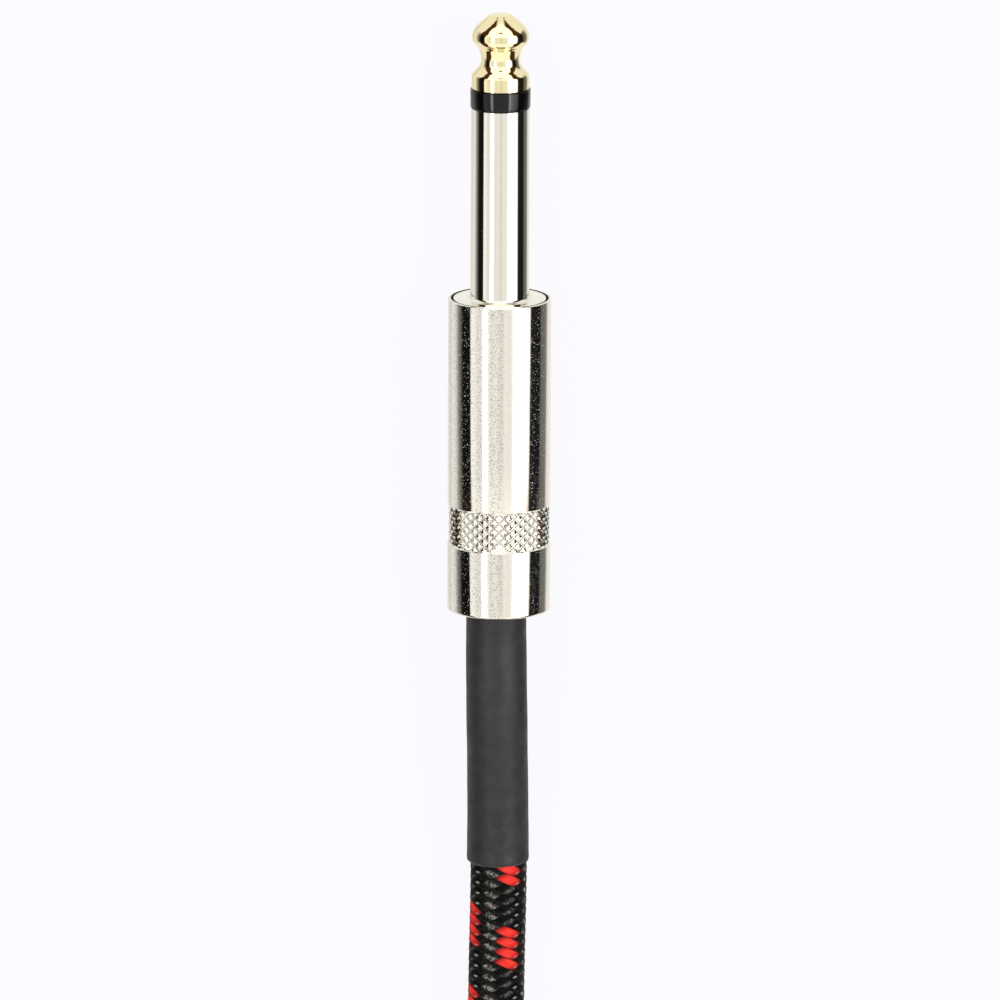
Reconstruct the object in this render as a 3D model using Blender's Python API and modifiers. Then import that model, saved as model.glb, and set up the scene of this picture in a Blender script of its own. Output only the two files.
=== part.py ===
"""Instrument cable: two straight 6.35 mm mono phone plugs on a braided cord.

The near plug lies along +Y with its tip at +Y and its barrel on the floor, z = 0.
The cord leaves it towards -Y, is wound into a round coil held by a strap, and ends
in the far plug, which lies beside the coil, parallel to the near one.

Units are metres. Every piece is one object. A turned piece is a profile in (radius, s),
where s is the distance along the plug's axis from the barrel's front face, positive
towards the tip.
"""

import math

import bpy
from mathutils import Matrix, Vector

MM = 0.001

# ---------------------------------------------------------------- driving dimensions, mm
PLUG_R = 3.175          # 1/4 inch plug
TIP_APEX = 31.1         # exposed length of the plug, from the barrel's front face
TIP_BACK = 23.05        # back face of the tip contact
RING_FRONT = 23.00      # black insulating ring between tip and sleeve
RING_BACK = 21.00
RING_R = 3.23            # the ring stands a little proud of the metal
SLEEVE_FRONT = 20.95

FLANGE_R = 5.00         # plug body behind the sleeve
BASE_FILLET = 0.45      # where the sleeve meets the flange
FLANGE_BACK = -1.2
COLLAR_R = 4.60         # thread crest
COLLAR_BACK = -7.2
NECK_R = 2.9
NECK_BACK = -8.4
BODY_BORE_R = 2.1

BARREL_R = 5.55
BARREL_LENGTH = 34.3
BARREL_RIM_R = 5.15     # counterbore that takes the flange
BARREL_BORE_R = 4.75
BARREL_HOLE_R = 3.62    # rear hole, where the cord comes out
KNURL_FRONT = -22.55
KNURL_BACK = -27.0
KNURL_R = 5.44
THREAD_PITCH = 0.75
BARREL_TRAVEL = 5.0

SHRINK_R = 3.33
SHRINK_WALL = 0.35
SHRINK_FRONT = -31.0
SHRINK_END = -62.9
SHRINK_STRAIGHT = -42.5  # the shrink and the cord bend down to the floor behind here

CORD_R = 3.10
JACKET_END_R = 2.8       # the cord where the shrink squeezes it
FLOOR_CORD_Z = 3.12
SHRINK_END_Z = 3.38

NEAR_SEAT = (0.0, 15.90, BARREL_R)       # barrel's front face centre, near plug
FAR_SEAT = (-84.1, 15.0, BARREL_R)       # the same on the far plug

COIL_CENTRE = (-43.6, -119.2)
COIL_TURN_RADII = (43.6, 37.4, 31.2, 25.0)
COIL_VALLEY_RADII = (28.1, 34.3, 40.5)
COIL_LAYER_STEP = 5.37
COIL_LAYERS = 4
CROSSING_RISE = 0.83     # where a turn lies right on top of another
COIL_TOP = 23.7
TIE_ANGLE = math.radians(225.0)
TIE_HALF_WIDTH = 8.0
TIE_THICKNESS = 1.0

OUTER_STEPS = 24
INNER_STEPS = 16


# ---------------------------------------------------------------- scene
for old in list(bpy.data.objects):
    bpy.data.objects.remove(old, do_unlink=True)

cable = bpy.data.collections.new("instrument_cable")
cutters = bpy.data.collections.new("cutters")
bpy.context.scene.collection.children.link(cable)
bpy.context.scene.collection.children.link(cutters)


def material(name, colour, metallic, roughness):
    made = bpy.data.materials.new(name)
    made.use_nodes = True
    shader = made.node_tree.nodes["Principled BSDF"]
    shader.inputs["Base Color"].default_value = (*colour, 1.0)
    shader.inputs["Metallic"].default_value = metallic
    shader.inputs["Roughness"].default_value = roughness
    made.diffuse_color = (*colour, 1.0)
    return made


FINISHES = {
    "tip_contact": ((0.95, 0.66, 0.26), 1.0, 0.16),
    "tip_rod": ((0.72, 0.52, 0.24), 1.0, 0.30),
    "tip_insulator": ((0.012, 0.012, 0.013), 0.0, 0.25),
    "rod_insulator": ((0.75, 0.73, 0.66), 0.0, 0.45),
    "plug_body": ((0.83, 0.80, 0.74), 1.0, 0.14),
    "ground_lug": ((0.80, 0.79, 0.76), 1.0, 0.30),
    "lug_washer": ((0.50, 0.22, 0.10), 0.0, 0.75),
    "tip_lug": ((0.82, 0.80, 0.76), 1.0, 0.28),
    "barrel_liner": ((0.86, 0.88, 0.88), 0.0, 0.35),
    "barrel": ((0.84, 0.82, 0.78), 1.0, 0.17),
    "heat_shrink": ((0.055, 0.053, 0.055), 0.0, 0.55),
    "cord_jacket": ((0.020, 0.020, 0.020), 0.0, 0.80),
    "inner_jacket": ((0.03, 0.03, 0.03), 0.0, 0.60),
    "shield_pigtail": ((0.70, 0.36, 0.20), 1.0, 0.35),
    "dielectric": ((0.88, 0.88, 0.84), 0.0, 0.40),
    "conductor": ((0.76, 0.38, 0.20), 1.0, 0.30),
    "tip_solder": ((0.68, 0.69, 0.70), 1.0, 0.28),
    "ground_solder": ((0.68, 0.69, 0.70), 1.0, 0.28),
}


def smooth(mesh, degrees=35.0):
    mesh.shade_smooth()
    mesh.set_sharp_from_angle(angle=math.radians(degrees))


def profile_mesh(name, points, closed):
    """A line of (radius, height) points in the XZ plane, outer side from top to bottom."""
    mesh = bpy.data.meshes.new(name)
    count = len(points)
    edges = [(i, i + 1) for i in range(count - 1)]
    if closed:
        edges.append((count - 1, 0))
    mesh.from_pydata([(r * MM, 0.0, s * MM) for r, s in points], edges, [])
    return mesh


def add_screw(obj, steps):
    screw = obj.modifiers.new("turn", "SCREW")
    screw.axis = "Z"
    screw.angle = math.tau
    screw.screw_offset = 0.0
    screw.steps = steps
    screw.render_steps = steps
    screw.use_merge_vertices = True
    screw.merge_threshold = 0.000001
    screw.use_smooth_shade = True
    return screw


def turned(name, points, steps, closed, parent, finish, collection=None):
    """A turned solid about its own Z axis; the parent empty lays that axis along the plug."""
    obj = bpy.data.objects.new(name, profile_mesh(name, points, closed))
    add_screw(obj, steps)
    (collection or cable).objects.link(obj)
    obj.parent = parent
    if finish is not None:
        obj.data.materials.append(finish)
    return obj


def helper_box(name, low, high, parent):
    """A box for a Boolean, between two corners in the parent's own frame, in mm."""
    bpy.ops.mesh.primitive_cube_add(size=1.0)
    obj = bpy.context.active_object
    obj.name = name
    size = [(b - a) * MM for a, b in zip(low, high)]
    centre = [(a + b) / 2 * MM for a, b in zip(low, high)]
    obj.data.transform(Matrix.Diagonal((*size, 1.0)))
    obj.data.transform(Matrix.Translation(centre))
    for other in list(obj.users_collection):
        other.objects.unlink(obj)
    cutters.objects.link(obj)
    obj.parent = parent
    obj.hide_render = True
    obj.display_type = "WIRE"
    return obj


def boolean(obj, other, operation):
    cut = obj.modifiers.new(operation.lower(), "BOOLEAN")
    cut.operation = operation
    cut.solver = "EXACT"
    cut.object = other
    return cut


def tube(name, points, radius, resolution, finish, parent=None, caps=True):
    """A round bar or tube along world or parent-space points in mm."""
    curve = bpy.data.curves.new(name, "CURVE")
    curve.dimensions = "3D"
    curve.bevel_depth = radius * MM
    curve.bevel_resolution = resolution
    curve.resolution_u = 1
    curve.use_fill_caps = caps
    curve.twist_mode = "MINIMUM"
    spline = curve.splines.new("POLY")
    spline.points.add(len(points) - 1)
    for point, place in zip(spline.points, points):
        point.co = (*[c * MM for c in place], 1.0)
    obj = bpy.data.objects.new(name, curve)
    cable.objects.link(obj)
    obj.data.materials.append(finish)
    obj.parent = parent
    return obj


def empty(name, place, rotation):
    obj = bpy.data.objects.new(name, None)
    obj.empty_display_size = 0.005
    obj.location = [c * MM for c in place]
    obj.rotation_euler = rotation
    cable.objects.link(obj)
    return obj


# ---------------------------------------------------------------- shapes of one plug
def tip_profile():
    """Nose, bulge, waist and base ring of the tip, with the blind hole that takes the rod."""
    apex = TIP_APEX
    outline = [
        (0.0, 0.0),
        (1.10, 0.04),
        (1.36, 0.22),
        (2.10, 0.82),
        (2.80, 1.56),
        (3.00, 1.98),
        (3.06, 2.32),
        (3.04, 2.72),
        (2.68, 3.34),
        (2.46, 3.56),
        (2.15, 4.42),
        (2.08, 4.88),
        (2.13, 5.30),
        (2.36, 5.75),
        (2.76, 6.18),
        (3.03, 6.52),
        (3.11, 6.80),
    ]
    points = [(r, apex - down) for r, down in outline]
    points += [(3.11, TIP_BACK), (1.1, TIP_BACK), (1.1, TIP_BACK + 3.75), (0.0, TIP_BACK + 3.75)]
    return points


def rounded_rectangle(low, high, radius, per_corner):
    """Outline points of a rectangle with round corners, from the top of its right side down."""
    (x0, y0), (x1, y1) = low, high
    centres = [
        ((x1 - radius, y1 - radius), 90.0),
        ((x1 - radius, y0 + radius), 0.0),
        ((x0 + radius, y0 + radius), -90.0),
        ((x0 + radius, y1 - radius), -180.0),
    ]
    points = []
    for (cx, cy), start in centres:
        for i in range(per_corner + 1):
            a = math.radians(start - 90.0 * i / per_corner)
            points.append((cx + radius * math.cos(a), cy + radius * math.sin(a)))
    return points


def ease(t):
    """0 to 1 with level ends."""
    t = min(max(t, 0.0), 1.0)
    return 0.5 - 0.5 * math.cos(math.pi * t)


def shrink_height(s):
    """Height of the cord's axis above the floor at s, under the heat shrink."""
    drop = BARREL_R - SHRINK_END_Z
    return BARREL_R - drop * ease((SHRINK_STRAIGHT - s) / (SHRINK_STRAIGHT - SHRINK_END))


def shrink_path(seat, start, end, count):
    return [
        (seat[0], seat[1] + s, shrink_height(s))
        for s in (start + (end - start) * i / (count - 1) for i in range(count))
    ]


def make_plug(side, seat):
    """All pieces of one plug. side is near or far, seat its barrel's front face centre."""
    finishes = {
        key: material(f"{side}_{key}", *values) for key, values in FINISHES.items()
    }
    # The plug's own frame: its Z is the axis, towards the tip. Y' then points down.
    axis = empty(f"{side}_plug_axis", seat, (-math.pi / 2, 0.0, 0.0))
    barrel_axis = empty(f"{side}_barrel_axis", seat, (-math.pi / 2, 0.0, 0.0))

    turned(f"{side}_tip_contact", tip_profile(), OUTER_STEPS, False, axis, finishes["tip_contact"])
    turned(
        f"{side}_tip_rod",
        [
            (0.0, 26.4), (1.0, 26.4), (1.0, -10.0), (1.6, -10.05), (1.4, -10.6), (0.0, -10.6),
        ],
        12, False, axis, finishes["tip_rod"],
    )
    turned(
        f"{side}_tip_insulator",
        [
            (RING_R - 0.07, RING_FRONT), (RING_R, RING_FRONT - 0.07), (RING_R, RING_BACK + 0.07),
            (RING_R - 0.07, RING_BACK), (1.1, RING_BACK), (1.1, RING_FRONT),
        ],
        OUTER_STEPS, True, axis, finishes["tip_insulator"],
    )
    turned(
        f"{side}_rod_insulator",
        [(2.0, SLEEVE_FRONT - 0.05), (2.0, -8.4), (1.1, -8.4), (1.1, SLEEVE_FRONT - 0.05)],
        INNER_STEPS, True, axis, finishes["rod_insulator"],
    )
    turned(
        f"{side}_plug_body",
        [
            (3.05, SLEEVE_FRONT), (PLUG_R, SLEEVE_FRONT - 0.12), (PLUG_R, BASE_FILLET),
            (PLUG_R + 0.3 * BASE_FILLET, 0.3 * BASE_FILLET), (PLUG_R + BASE_FILLET, 0.0),
            (FLANGE_R - 0.12, 0.0), (FLANGE_R, -0.12), (FLANGE_R, FLANGE_BACK),
            (COLLAR_R - 0.4, FLANGE_BACK - 0.05), (COLLAR_R - 0.4, FLANGE_BACK - 0.5),
            (COLLAR_R, FLANGE_BACK - 0.9), (COLLAR_R, COLLAR_BACK + 0.3),
            (COLLAR_R - 0.3, COLLAR_BACK), (NECK_R, COLLAR_BACK), (NECK_R, NECK_BACK),
            (BODY_BORE_R, NECK_BACK), (BODY_BORE_R, SLEEVE_FRONT),
        ],
        OUTER_STEPS, True, axis, finishes["plug_body"],
    )

    # Ground lug: a plate on the body's neck, an arm along the bottom and a clamp on the cord.
    lug = turned(
        f"{side}_ground_lug",
        [(4.15, -7.3), (4.15, -7.9), (3.0, -7.9), (3.0, -7.3)],
        INNER_STEPS, True, axis, finishes["ground_lug"],
    )
    arm = helper_box(f"{side}_ground_arm", (-1.4, 3.02, -22.9), (1.4, 3.62, -7.5), axis)
    clamp = turned(
        f"{side}_clamp_band",
        [(3.25, -22.2), (3.25, -28.8), (2.62, -28.8), (2.62, -22.2)],
        INNER_STEPS, True, axis, None, cutters,
    )
    clamp.hide_render = True
    clamp.display_type = "WIRE"
    mouth = helper_box(f"{side}_clamp_mouth", (-1.7, -5.0, -30.0), (1.7, -1.2, -21.0), axis)
    boolean(lug, arm, "UNION")
    boolean(lug, clamp, "UNION")
    boolean(lug, mouth, "DIFFERENCE")

    turned(
        f"{side}_lug_washer",
        [(2.8, -8.55), (2.8, -9.35), (1.1, -9.35), (1.1, -8.55)],
        INNER_STEPS, True, axis, finishes["lug_washer"],
    )
    tip_lug = turned(
        f"{side}_tip_lug",
        [(2.4, -9.45), (2.4, -9.95), (1.1, -9.95), (1.1, -9.45)],
        INNER_STEPS, True, axis, finishes["tip_lug"],
    )
    tip_arm = helper_box(f"{side}_tip_arm", (-0.9, -2.35, -15.2), (0.9, -1.85, -9.6), axis)
    boolean(tip_lug, tip_arm, "UNION")

    turned(
        f"{side}_barrel_liner",
        [(4.52, -11.0), (4.52, -32.3), (4.30, -32.3), (4.30, -11.0)],
        OUTER_STEPS, True, barrel_axis, finishes["barrel_liner"],
    )
    rear = -BARREL_LENGTH
    turned(
        f"{side}_barrel",
        [
            (BARREL_R - 0.12, 0.0), (BARREL_R, -0.14), (BARREL_R, KNURL_FRONT),
            (KNURL_R, KNURL_FRONT - 0.1), (KNURL_R, KNURL_BACK + 0.1),
            (BARREL_R, KNURL_BACK), (BARREL_R, rear + 0.18), (BARREL_R - 0.18, rear),
            (BARREL_HOLE_R, rear), (BARREL_HOLE_R, rear + 1.1), (BARREL_BORE_R, rear + 1.3),
            (BARREL_BORE_R, -1.35), (BARREL_RIM_R, -1.35), (BARREL_RIM_R, 0.0),
        ],
        OUTER_STEPS, True, barrel_axis, finishes["barrel"],
    )

    # The cord's end inside the plug, and the heat shrink over it.
    shrink = tube(
        f"{side}_heat_shrink", shrink_path(seat, SHRINK_FRONT, SHRINK_END, 9),
        SHRINK_R, 4, finishes["heat_shrink"], caps=False,
    )
    wall = shrink.modifiers.new("wall", "SOLIDIFY")
    wall.thickness = SHRINK_WALL * MM
    wall.offset = -1.0
    tube(
        f"{side}_cord_jacket_end", shrink_path(seat, SHRINK_FRONT + 1.1, SHRINK_END, 9),
        JACKET_END_R, 4, finishes["cord_jacket"],
    )
    turned(
        f"{side}_inner_jacket",
        [(0.0, -20.0), (2.3, -20.0), (2.4, -20.1), (2.4, -29.7), (0.0, -29.7)],
        INNER_STEPS, False, axis, finishes["inner_jacket"],
    )
    turned(
        f"{side}_dielectric",
        [(0.0, -15.6), (1.1, -15.6), (1.1, -19.9), (0.0, -19.9)],
        12, False, axis, finishes["dielectric"],
    )
    tube(
        f"{side}_conductor",
        [(0.0, -1.0, -11.2), (0.0, -1.0, -12.2), (0.0, -1.0, -13.2), (0.0, -0.85, -14.0),
         (0.0, -0.35, -14.8), (0.0, -0.1, -15.5)],
        0.35, 2, finishes["conductor"], parent=axis,
    )
    tube(
        f"{side}_shield_pigtail",
        [(0.0, 2.1, -14.9), (0.0, 2.1, -16.2), (0.0, 2.1, -17.6), (0.0, 1.95, -18.6),
         (0.0, 1.75, -19.3), (0.0, 1.7, -19.9)],
        0.4, 2, finishes["shield_pigtail"], parent=axis,
    )
    bead(f"{side}_tip_solder", (0.0, -1.0), (-11.3, -13.0), 0.45, 0.78, axis, finishes["tip_solder"])
    bead(f"{side}_ground_solder", (0.0, 2.1), (-15.1, -17.3), 0.52, 0.85, axis, finishes["ground_solder"])


def bead(name, offset, span, inner, outer, parent, finish):
    """Solder drawn round a wire: a bead with the wire's hole through it."""
    top, bottom = span
    length = top - bottom
    points = [
        (inner + 0.08, top),
        ((inner + outer) / 2 + 0.05, top - 0.22 * length),
        (outer, top - 0.5 * length),
        ((inner + outer) / 2 + 0.05, top - 0.78 * length),
        (inner + 0.08, bottom),
        (inner, bottom),
        (inner, top),
    ]
    obj = turned(name, points, 12, True, parent, finish)
    obj.location = (offset[0] * MM, offset[1] * MM, 0.0)
    return obj


# ---------------------------------------------------------------- the cord between the plugs
def near_route(y):
    """Centreline of the cord from the near heat shrink to the coil, at world y in mm."""
    start, end = NEAR_SEAT[1] + SHRINK_END, COIL_CENTRE[1]
    t = (start - y) / (start - end)
    x = -0.35 * math.sin(math.pi * t) ** 2
    z = SHRINK_END_Z + (FLOOR_CORD_Z - SHRINK_END_Z) * ease(t * 4.0)
    return (x, y, z)


def far_route(y):
    """Centreline of the cord from the top of the coil down to the far heat shrink."""
    x = COIL_CENTRE[0] - COIL_VALLEY_RADII[-1]
    top = FLOOR_CORD_Z + (COIL_LAYERS - 1) * COIL_LAYER_STEP
    crossing = COIL_CENTRE[1] + 16.7          # passes over the outer turn below it here
    landing = FAR_SEAT[1] + SHRINK_END - 2.0
    if y <= crossing:
        return (x, y, top + CROSSING_RISE * ease((y - COIL_CENTRE[1]) / (crossing - COIL_CENTRE[1])))
    high = top + CROSSING_RISE
    z = high + (FLOOR_CORD_Z - high) * ease((y - crossing) / (landing - crossing))
    z += (SHRINK_END_Z - FLOOR_CORD_Z) * ease((y - landing + 6.0) / 8.0)
    return (x, y, z)


def spaced(start, end, count):
    return [start + (end - start) * i / (count - 1) for i in range(count)]


make_plug("near", NEAR_SEAT)
make_plug("far", FAR_SEAT)

cord_finish = material("cord_braid", (0.030, 0.026, 0.026), 0.0, 0.85)
near_start = NEAR_SEAT[1] + SHRINK_END - 0.3
near_end = COIL_CENTRE[1] + 24.6
tube(
    "cord_lead_near",
    [near_route(y) for y in spaced(near_start, near_end, 6)],
    CORD_R, 4, cord_finish,
)
far_start = COIL_CENTRE[1] + 29.5
far_end = FAR_SEAT[1] + SHRINK_END - 0.3
tube(
    "cord_lead_far",
    [far_route(y) for y in spaced(far_start, far_end, 7)],
    CORD_R, 4, cord_finish,
)

# The coil's outer shape: a turned ring with round corners, lifted where the strap passes under.
coil_axis = empty("coil_axis", (*COIL_CENTRE, 0.0), (0.0, 0.0, 0.0))
inner_r = COIL_TURN_RADII[-1] - CORD_R
outer_r = COIL_TURN_RADII[0] + CORD_R
coil = turned(
    "cord_coil",
    rounded_rectangle((inner_r, 0.02), (outer_r, COIL_TOP), CORD_R, 2),
    40, True, coil_axis, material("coil_braid", (0.030, 0.026, 0.026), 0.0, 0.85),
)
notch = helper_box("tie_notch", (10.0, -TIE_HALF_WIDTH - 2.0, -2.0), (60.0, TIE_HALF_WIDTH + 2.0, 1.5), coil_axis)
notch.rotation_euler = (0.0, 0.0, TIE_ANGLE)
boolean(coil, notch, "DIFFERENCE")

# Hook-and-loop strap round the coil's section.
strap = bpy.data.curves.new("coil_strap", "CURVE")
strap.dimensions = "2D"
strap.fill_mode = "BOTH"
strap.extrude = TIE_HALF_WIDTH * MM
for grow in (0.0, TIE_THICKNESS):
    outline = rounded_rectangle(
        (20.0 - grow, 1.15 - grow), (47.15 + grow, 24.0 + grow), 1.5 + grow, 3
    )
    loop = strap.splines.new("POLY")
    loop.points.add(len(outline) - 1)
    for point, (x, y) in zip(loop.points, outline):
        point.co = (x * MM, y * MM, 0.0, 1.0)
    loop.use_cyclic_u = True
strap_obj = bpy.data.objects.new("coil_strap", strap)
cable.objects.link(strap_obj)
strap_obj.data.materials.append(material("strap_fabric", (0.018, 0.018, 0.020), 0.0, 0.9))
strap_obj.parent = coil_axis
strap_obj.matrix_local = Matrix.Rotation(TIE_ANGLE, 4, "Z") @ Matrix.Rotation(math.pi / 2, 4, "X")

for obj in cable.objects:
    if obj.type == "MESH":
        smooth(obj.data)
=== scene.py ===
"""Looks for the instrument cable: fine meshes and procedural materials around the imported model."""

import math

import bpy
import numpy as np
from mathutils import Matrix, Vector

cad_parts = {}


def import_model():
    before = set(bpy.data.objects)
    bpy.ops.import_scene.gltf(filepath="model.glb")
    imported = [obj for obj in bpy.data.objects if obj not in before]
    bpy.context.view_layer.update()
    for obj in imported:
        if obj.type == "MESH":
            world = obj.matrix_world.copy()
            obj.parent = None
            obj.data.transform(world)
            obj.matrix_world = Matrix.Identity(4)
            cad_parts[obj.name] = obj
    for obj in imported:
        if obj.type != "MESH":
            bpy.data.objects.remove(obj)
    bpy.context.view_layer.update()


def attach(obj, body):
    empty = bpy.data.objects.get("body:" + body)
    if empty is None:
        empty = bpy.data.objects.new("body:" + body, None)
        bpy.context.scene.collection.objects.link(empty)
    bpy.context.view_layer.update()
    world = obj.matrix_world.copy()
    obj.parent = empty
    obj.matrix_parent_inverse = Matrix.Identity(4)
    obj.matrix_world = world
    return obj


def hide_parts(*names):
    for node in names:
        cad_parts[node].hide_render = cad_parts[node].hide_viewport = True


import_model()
MM = 0.001
scene = bpy.context.scene

# ------------------------------------------------------------------ shared dimensions, mm
TIP_APEX, TIP_BACK = 31.1, 23.05
SHRINK_FRONT, SHRINK_STRAIGHT, SHRINK_END = -31.0, -42.5, -62.9
SHRINK_END_Z, FLOOR_CORD_Z, BARREL_R = 3.38, 3.12, 5.55
SEATS = {"near": (0.0, 15.90, 5.55), "far": (-84.1, 15.0, 5.55)}
COIL_CENTRE = (-43.6, -119.2)
TURN_RADII = (43.6, 37.4, 31.2, 25.0)
VALLEY_RADII = (28.1, 34.3, 40.5)
LAYER_STEP = 5.37
CROSSING_RISE = 0.83   # where a turn lies right on top of another
TIE_ANGLE = 225.0
LEAD = 9.3             # braid's turn length


def ease(t):
    t = min(max(t, 0.0), 1.0)
    return 0.5 - 0.5 * math.cos(math.pi * t)


# ------------------------------------------------------------------ camera
TILT = math.radians(13.4)
ROLL = math.radians(0.20)
FOCAL_PX = 22320.0
DISTANCE = 2400.0
AIM = Vector((0.102, SEATS["near"][1] - 22.33, BARREL_R))

cam_data = bpy.data.cameras.new("camera")
cam_data.sensor_width = 36.0
cam_data.sensor_fit = "HORIZONTAL"
cam_data.lens = FOCAL_PX * 36.0 / 1000.0
cam_data.clip_start, cam_data.clip_end = 0.02, 20.0
camera = bpy.data.objects.new("camera", cam_data)
scene.collection.objects.link(camera)
scene.camera = camera
back = Vector((0.0, math.sin(TILT), math.cos(TILT)))
camera.location = (AIM + back * DISTANCE) * MM
up = Vector((0.0, math.cos(TILT), -math.sin(TILT)))
right = Vector((1.0, 0.0, 0.0))
turn = Matrix((right, up, back)).transposed()
camera.rotation_euler = (turn @ Matrix.Rotation(ROLL, 3, "Z")).to_euler()


# ------------------------------------------------------------------ mesh helpers
def new_object(name, verts, faces, body, slot=None, mats=(), replaces=(), smooth=30.0, uvs=None):
    mesh = bpy.data.meshes.new(name)
    mesh.from_pydata([tuple(float(c) * MM for c in v) for v in verts], [], faces)
    mesh.validate()
    mesh.update()
    if uvs is not None:
        layer = mesh.uv_layers.new(name="along")
        flat = np.asarray(uvs, np.float32).reshape(-1)
        layer.data.foreach_set("uv", flat)
    mesh.shade_smooth()
    if smooth is not None:
        mesh.set_sharp_from_angle(angle=math.radians(smooth))
    for m in mats:
        mesh.materials.append(m)
    obj = bpy.data.objects.new(f"{name}_fine", mesh)
    scene.collection.objects.link(obj)
    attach(obj, body)
    if replaces:
        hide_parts(*replaces)
    return obj


def fillet(points, closed=True):
    """points are (r, s) or (r, s, radius, steps): corners with a radius become arcs."""
    out = []
    n = len(points)
    for i, p in enumerate(points):
        if len(p) < 3 or p[2] <= 0 or (not closed and i in (0, n - 1)):
            out.append((p[0], p[1]))
            continue
        a, b, c = (Vector(points[(i + k) % n][:2]) for k in (-1, 0, 1))
        radius = p[2]
        steps = p[3] if len(p) > 3 else 4
        u, v = (a - b), (c - b)
        lu, lv = u.length, v.length
        u, v = u / lu, v / lv
        cosine = max(-1.0, min(1.0, u.dot(v)))
        half = math.acos(cosine) / 2
        cut = min(radius / math.tan(half), 0.49 * lu, 0.49 * lv)
        radius = cut * math.tan(half)
        p0, p1 = b + u * cut, b + v * cut
        centre = b + (u + v).normalized() * (radius / math.sin(half))
        a0 = math.atan2(p0.y - centre.y, p0.x - centre.x)
        a1 = math.atan2(p1.y - centre.y, p1.x - centre.x)
        sweep = (a1 - a0 + math.pi) % (2 * math.pi) - math.pi
        for k in range(steps + 1):
            t = a0 + sweep * k / steps
            out.append((centre.x + radius * math.cos(t), centre.y + radius * math.sin(t)))
    return out


def signed_area(points):
    return sum(
        a[0] * b[1] - b[0] * a[1] for a, b in zip(points, points[1:] + points[:1])
    ) / 2


def lathe_mesh(profile, n, closed, seat, offset=(0.0, 0.0)):
    """Rings about an axis parallel to +Y through seat. profile is (radius, s). Faces point out."""
    pts = list(profile)
    if closed:
        if signed_area(pts) > 0:
            pts.reverse()
    elif pts[0][1] < pts[-1][1]:
        pts.reverse()
    verts, rings = [], []
    for r, s in pts:
        if r < 1e-6:
            rings.append([len(verts)])
            verts.append((seat[0] + offset[0], seat[1] + s, seat[2] + offset[1]))
            continue
        rings.append(list(range(len(verts), len(verts) + n)))
        for k in range(n):
            a = 2 * math.pi * k / n
            verts.append(
                (seat[0] + offset[0] + r * math.sin(a), seat[1] + s, seat[2] + offset[1] + r * math.cos(a))
            )
    faces = []
    pairs = list(zip(rings, rings[1:]))
    if closed:
        pairs.append((rings[-1], rings[0]))
    for top, low in pairs:
        if len(top) == 1 and len(low) == 1:
            continue
        for k in range(n):
            j = (k + 1) % n
            if len(top) == 1:
                faces.append((top[0], low[j], low[k]))
            elif len(low) == 1:
                faces.append((top[k], top[j], low[0]))
            else:
                faces.append((top[k], top[j], low[j], low[k]))
    return verts, faces


def frames_along(points, up_hint=(0.0, 0.0, 1.0)):
    """Rotation-minimising frames: tangent, up and side at each point."""
    p = np.asarray(points, float)
    t = np.gradient(p, axis=0)
    t /= np.linalg.norm(t, axis=1)[:, None]
    ups = np.zeros_like(p)
    u = np.asarray(up_hint, float)
    u -= t[0] * (u @ t[0])
    ups[0] = u / np.linalg.norm(u)
    for i in range(1, len(p)):
        v1 = p[i] - p[i - 1]
        c1 = v1 @ v1
        rl = ups[i - 1] - (2 / c1) * (v1 @ ups[i - 1]) * v1
        tl = t[i - 1] - (2 / c1) * (v1 @ t[i - 1]) * v1
        v2 = t[i] - tl
        c2 = v2 @ v2
        ups[i] = rl - (2 / c2) * (v2 @ rl) * v2 if c2 > 1e-18 else rl
        ups[i] -= t[i] * (ups[i] @ t[i])
        ups[i] /= np.linalg.norm(ups[i])
    return p, t, ups, np.cross(t, ups)


# ------------------------------------------------------------------ the cord's route, mm
def shrink_height(s):
    drop = BARREL_R - SHRINK_END_Z
    return BARREL_R - drop * ease((SHRINK_STRAIGHT - s) / (SHRINK_STRAIGHT - SHRINK_END))


def near_route(y):
    start, end = SEATS["near"][1] + SHRINK_END, COIL_CENTRE[1]
    t = (start - y) / (start - end)
    x = 0.10 * (1.0 - ease((start - y) / 12.0)) - 0.35 * math.sin(math.pi * max(t, 0.0)) ** 2
    z = SHRINK_END_Z + (FLOOR_CORD_Z - SHRINK_END_Z) * ease(t * 4.0)
    return (x, y, z)


def far_route(y):
    x = COIL_CENTRE[0] - VALLEY_RADII[-1]
    top = FLOOR_CORD_Z + 3 * LAYER_STEP
    crossing = COIL_CENTRE[1] + 16.7
    landing = SEATS["far"][1] + SHRINK_END - 2.0
    if y <= crossing:
        return (x, y, top + CROSSING_RISE * ease((y - COIL_CENTRE[1]) / (crossing - COIL_CENTRE[1])))
    high = top + CROSSING_RISE
    z = high + (FLOOR_CORD_Z - high) * ease((y - crossing) / (landing - crossing))
    z += (SHRINK_END_Z - FLOOR_CORD_Z) * ease((y - landing + 6.0) / 8.0)
    return (x, y, z)


TURNS = [(r, 0) for r in TURN_RADII] + [(r, 1) for r in VALLEY_RADII]
TURNS += [(r, 2) for r in TURN_RADII] + [(r, 3) for r in VALLEY_RADII]
COIL_SWEEP = 13.5 * 360.0


def plateau(x, flat, fade):
    return 1.0 - ease((abs(x) - flat) / (fade - flat))


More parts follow.
